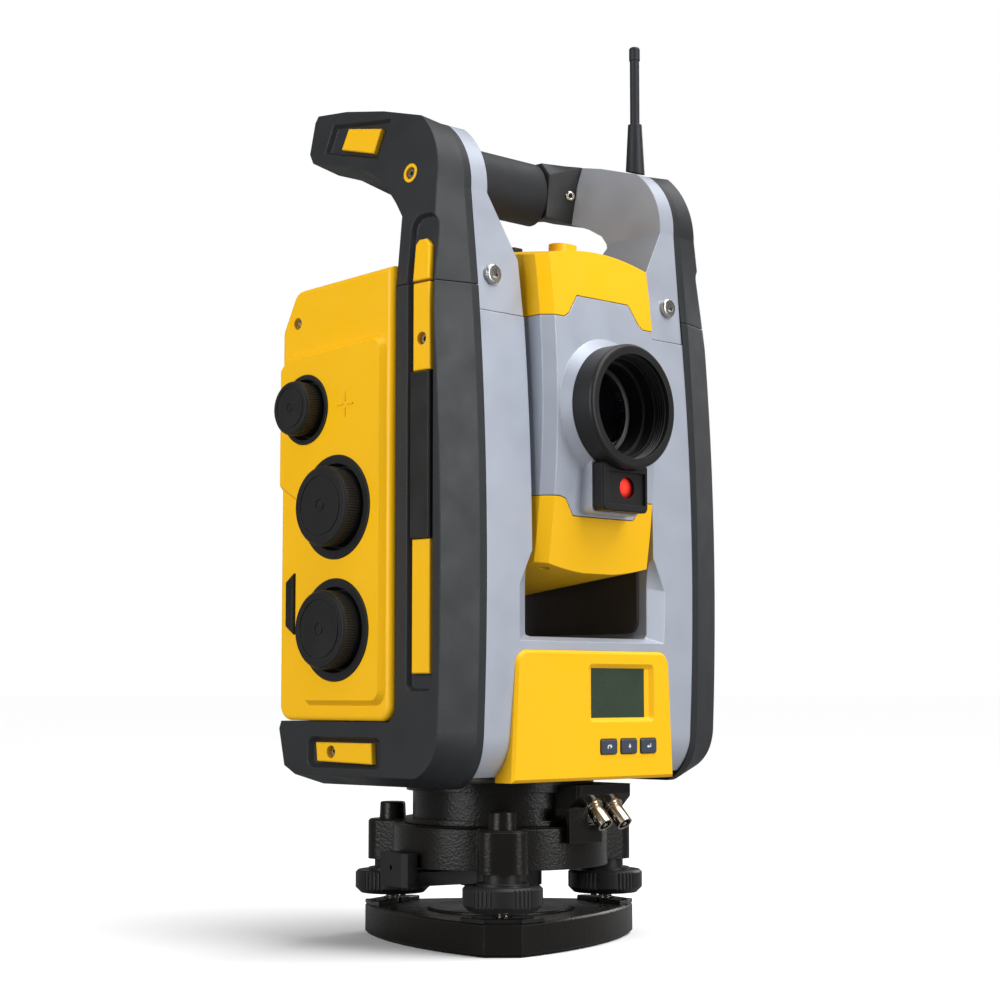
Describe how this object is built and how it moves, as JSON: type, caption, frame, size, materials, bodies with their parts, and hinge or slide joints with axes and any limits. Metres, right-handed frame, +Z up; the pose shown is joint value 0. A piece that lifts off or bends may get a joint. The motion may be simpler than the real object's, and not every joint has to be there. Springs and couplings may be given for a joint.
{
  "type": "surveying total station",
  "caption": "Surveying total station: a telescope that tips in a U-shaped alidade with side drive knobs, keypad and carrying handle, on a levelling base with foot screws.",
  "frame": {"origin": "centre of the base plate's underside, on the vertical axis and in the mouth of the tripod thread", "axes": "+Z up along the vertical axis; -Y is the front, where the objective and the keypad face; -X is the side with the drive knobs and +X the battery side"},
  "size_m": [0.2083, 0.181, 0.45],
  "materials": {
    "yellow_shell": "satin",
    "silver_casting": "satin metallic paint",
    "black_casting": "coarse black paint",
    "black_steel": "satin black",
    "black_plastic": "matte, lightly textured",
    "black_gloss": "semi-gloss",
    "dark_plastic": "matte",
    "soft_rubber": "matte",
    "key_plastic": "matte",
    "steel": "turned",
    "nickel": "satin nickel plating",
    "circuit_board": "matte",
    "display_glass": "clear cover over a grey-green display",
    "clear_glass": "clear",
    "lens_glass": "coated",
    "red_lens": "translucent"
  },
  "bodies": {
    "base": {"base_plate": "black_casting", "thread_bush": "steel", "retaining_clips": "black_steel"},
    "foot_1": {"foot_screw_1": "steel", "foot_knob_1": "black_plastic"},
    "foot_2": {"foot_screw_2": "steel", "foot_knob_2": "black_plastic"},
    "foot_3": {"foot_screw_3": "steel", "foot_knob_3": "black_plastic"},
    "tribrach": {"tribrach_body": "black_casting", "screw_caps": "black_plastic", "level_vial": "clear_glass"},
    "clamp": {"lock_lever": "black_casting"},
    "lower_base": {"instrument_base": "black_casting", "connector_bracket": "black_casting", "connectors": "nickel"},
    "telescope": {"telescope_body": "silver_casting", "telescope_cover_top": "yellow_shell", "telescope_cover_bottom": "yellow_shell", "sight": "black_plastic", "objective_barrel": "black_gloss", "objective_lens": "lens_glass", "tracklight_box": "black_plastic", "tracklight_lens": "red_lens", "trunnion_axle": "steel"},
    "eyepiece": {"eyepiece_ring": "black_plastic"},
    "focus": {"focus_knob": "black_plastic"},
    "vertical_drive": {"vertical_knob": "black_plastic"},
    "horizontal_drive": {"horizontal_knob": "black_plastic"},
    "key_1": {"key_left": "key_plastic"},
    "key_2": {"key_middle": "key_plastic"},
    "key_3": {"key_right": "key_plastic"},
    "door": {"battery_door": "yellow_shell"},
    "alidade": {"vertical_axle": "steel", "yoke_frame": "silver_casting", "bottom_cover": "black_plastic", "inner_cheeks": "dark_plastic", "keypad_panel": "yellow_shell", "display_window": "display_glass", "display_module": "circuit_board", "knob_side_cover": "yellow_shell", "battery_side_cover": "yellow_shell", "knob_bezels": "black_plastic", "port_plug": "black_plastic", "knob_side_bumper": "black_plastic", "battery_side_bumper": "black_plastic", "lower_inlays": "yellow_shell", "name_strips": "black_gloss", "handle_legs": "silver_casting", "upper_bumpers": "black_plastic", "upper_inlays": "yellow_shell", "handle_grip": "soft_rubber", "handle_screws": "steel", "cover_screws": "steel", "antenna": "soft_rubber", "rear_cover": "yellow_shell", "controller_dock": "black_plastic", "battery_pack": "dark_plastic", "servo_motors": "steel", "trunnion_bearings": "steel"}
  },
  "joints": [
    {"name": "levelling_lift", "type": "slide", "parent": "base", "child": "tribrach", "axis": [0, 0, 1], "range_m": [-0.0025, 0.0025]},
    {"name": "foot_screw_turn_1", "type": "hinge", "parent": "base", "child": "foot_1", "pos_m": [-0.04179, -0.04389, 0.0095], "axis": [0, 0, 1], "range_deg": [-1130, 1130]},
    {"name": "foot_screw_turn_2", "type": "hinge", "parent": "base", "child": "foot_2", "pos_m": [0.0589, -0.01425, 0.0095], "axis": [0, 0, 1], "range_deg": [-1130, 1130]},
    {"name": "foot_screw_turn_3", "type": "hinge", "parent": "base", "child": "foot_3", "pos_m": [-0.01711, 0.05813, 0.0095], "axis": [0, 0, 1], "range_deg": [-1130, 1130]},
    {"name": "clamp_turn", "type": "hinge", "parent": "tribrach", "child": "clamp", "pos_m": [0, 0, 0.035], "axis": [0, 0, 1], "range_deg": [0, 25]},
    {"name": "instrument_lift", "type": "slide", "parent": "tribrach", "child": "lower_base", "axis": [0, 0, 1], "range_m": [0, 0.03]},
    {"name": "horizontal_turn", "type": "hinge", "parent": "lower_base", "child": "alidade", "pos_m": [0, 0, 0.07], "axis": [0, 0, 1], "continuous": true},
    {"name": "telescope_tilt", "type": "hinge", "parent": "alidade", "child": "telescope", "pos_m": [0, 0, 0.2488], "axis": [1, 0, 0], "continuous": true},
    {"name": "eyepiece_focus", "type": "hinge", "parent": "telescope", "child": "eyepiece", "pos_m": [0, 0.083, 0.2488], "axis": [0, 1, 0], "range_deg": [-100, 100]},
    {"name": "focus_turn", "type": "hinge", "parent": "alidade", "child": "focus", "pos_m": [-0.1, 0.0285, 0.2488], "axis": [-1, 0, 0], "continuous": true},
    {"name": "vertical_drive_turn", "type": "hinge", "parent": "alidade", "child": "vertical_drive", "pos_m": [-0.1, 0.0063, 0.202], "axis": [-1, 0, 0], "continuous": true},
    {"name": "horizontal_drive_turn", "type": "hinge", "parent": "alidade", "child": "horizontal_drive", "pos_m": [-0.1, 0.0063, 0.146], "axis": [-1, 0, 0], "continuous": true},
    {"name": "key_left_press", "type": "slide", "parent": "alidade", "child": "key_1", "axis": [0, 1, 0], "range_m": [0, 0.0008], "stiffness_N_per_m": 500},
    {"name": "key_middle_press", "type": "slide", "parent": "alidade", "child": "key_2", "axis": [0, 1, 0], "range_m": [0, 0.0008], "stiffness_N_per_m": 500},
    {"name": "key_right_press", "type": "slide", "parent": "alidade", "child": "key_3", "axis": [0, 1, 0], "range_m": [0, 0.0008], "stiffness_N_per_m": 500},
    {"name": "battery_door_swing", "type": "hinge", "parent": "alidade", "child": "door", "pos_m": [0.0966, 0.007, 0.127], "axis": [0, 1, 0], "range_deg": [0, 90]}
  ],
  "couplings": [
    {"joint": "foot_screw_turn_1", "follows": "levelling_lift", "rad_per_m": 7854},
    {"joint": "foot_screw_turn_2", "follows": "levelling_lift", "rad_per_m": 7854},
    {"joint": "foot_screw_turn_3", "follows": "levelling_lift", "rad_per_m": 7854}
  ]
}
